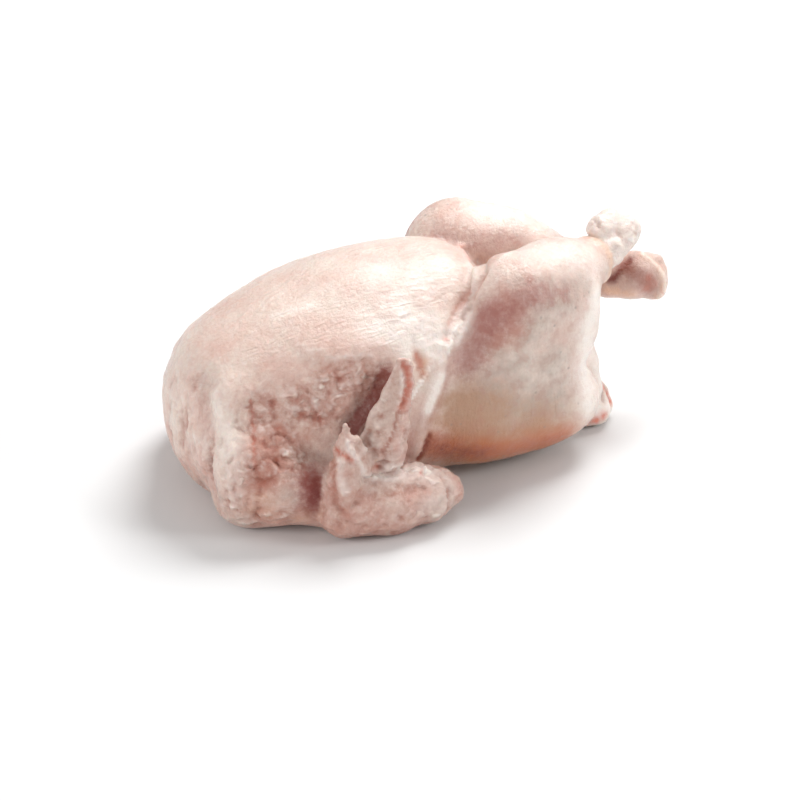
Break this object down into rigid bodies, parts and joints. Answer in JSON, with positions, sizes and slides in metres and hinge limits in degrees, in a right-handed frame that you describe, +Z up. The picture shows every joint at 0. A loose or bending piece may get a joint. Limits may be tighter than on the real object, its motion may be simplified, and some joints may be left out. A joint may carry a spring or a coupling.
{
  "type": "whole raw chicken",
  "caption": "Whole raw chicken lying on its back, with plump breast up, wings folded, drumsticks drawn together and hocks crossed.",
  "frame": {"origin": "on the table, under the middle of the bird's bounding box", "axes": "+X from the neck end to the tail and hocks, +Y to the bird's own left side, +Z up out of the breast"},
  "size_m": [0.2576, 0.168, 0.1089],
  "materials": {
    "skin": "damp, pale pink raw skin with a soft wet gloss"
  },
  "bodies": {
    "root": {"chicken": "skin"}
  },
  "joints": []
}
